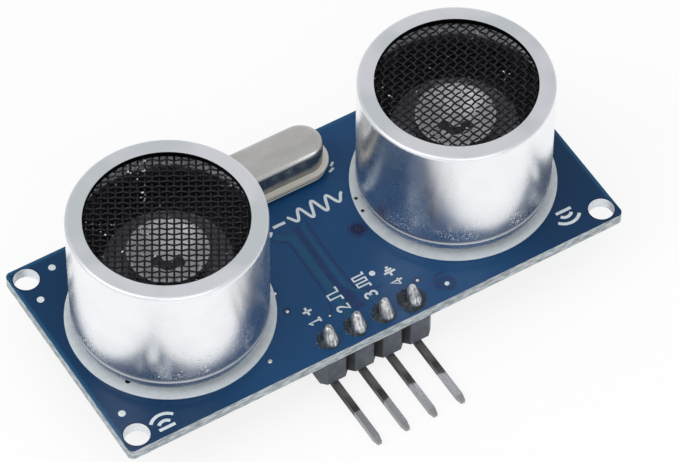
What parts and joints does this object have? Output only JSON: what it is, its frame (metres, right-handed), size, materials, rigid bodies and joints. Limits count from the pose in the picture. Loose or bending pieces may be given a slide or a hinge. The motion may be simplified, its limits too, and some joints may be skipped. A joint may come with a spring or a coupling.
{
  "type": "ultrasonic distance sensor",
  "caption": "Flat sensor board carrying round open-mouthed transducer cans with mesh, a crystal between them and a right-angle pin header on one long edge.",
  "frame": {"origin": "centre of the four mounting holes, on the board's back face", "axes": "+X along the board from the transmitter to the receiver; +Y from the header's edge to the crystal's edge; +Z out of the board's face, towards the transducers' mouths"},
  "size_m": [0.045, 0.0263, 0.0168],
  "materials": {
    "board": "gloss",
    "print": "matte",
    "can_metal": "polished",
    "mesh_black": "satin",
    "horn_metal": "satin",
    "disc_metal": "satin",
    "piezo_ceramic": "matte",
    "cushion_rubber": "matte",
    "black_plastic": "matte",
    "tinned_lead": "satin",
    "copper_wire": "satin",
    "solder": "gloss",
    "crystal_metal": "satin",
    "header_plastic": "satin",
    "pin_metal": "satin",
    "chip_plastic": "matte",
    "resistor_ceramic": "gloss",
    "capacitor_ceramic": "matte"
  },
  "bodies": {
    "root": {"pcb": "board", "print_rings": "print", "t_can": "can_metal", "t_mesh": "mesh_black", "t_horn": "horn_metal", "t_disc": "disc_metal", "t_piezo": "piezo_ceramic", "t_cushion": "cushion_rubber", "t_base": "black_plastic", "t_leads": "tinned_lead", "t_wires": "copper_wire", "r_can": "can_metal", "r_mesh": "mesh_black", "r_horn": "horn_metal", "r_disc": "disc_metal", "r_piezo": "piezo_ceramic", "r_cushion": "cushion_rubber", "r_base": "black_plastic", "r_leads": "tinned_lead", "r_wires": "copper_wire", "can_solder": "solder", "crystal_cover": "crystal_metal", "crystal_base": "crystal_metal", "crystal_leads": "tinned_lead", "crystal_solder": "solder", "header_housing": "header_plastic", "header_pin_1": "pin_metal", "header_pin_2": "pin_metal", "header_pin_3": "pin_metal", "header_pin_4": "pin_metal", "header_solder": "solder", "driver_chip": "chip_plastic", "driver_chip_leads": "tinned_lead", "logic_chip": "chip_plastic", "logic_chip_leads": "tinned_lead", "amplifier_chip": "chip_plastic", "amplifier_chip_leads": "tinned_lead", "transistor": "chip_plastic", "transistor_leads": "tinned_lead", "resistors": "resistor_ceramic", "resistor_ends": "solder", "capacitors": "capacitor_ceramic", "capacitor_ends": "solder"}
  },
  "joints": []
}
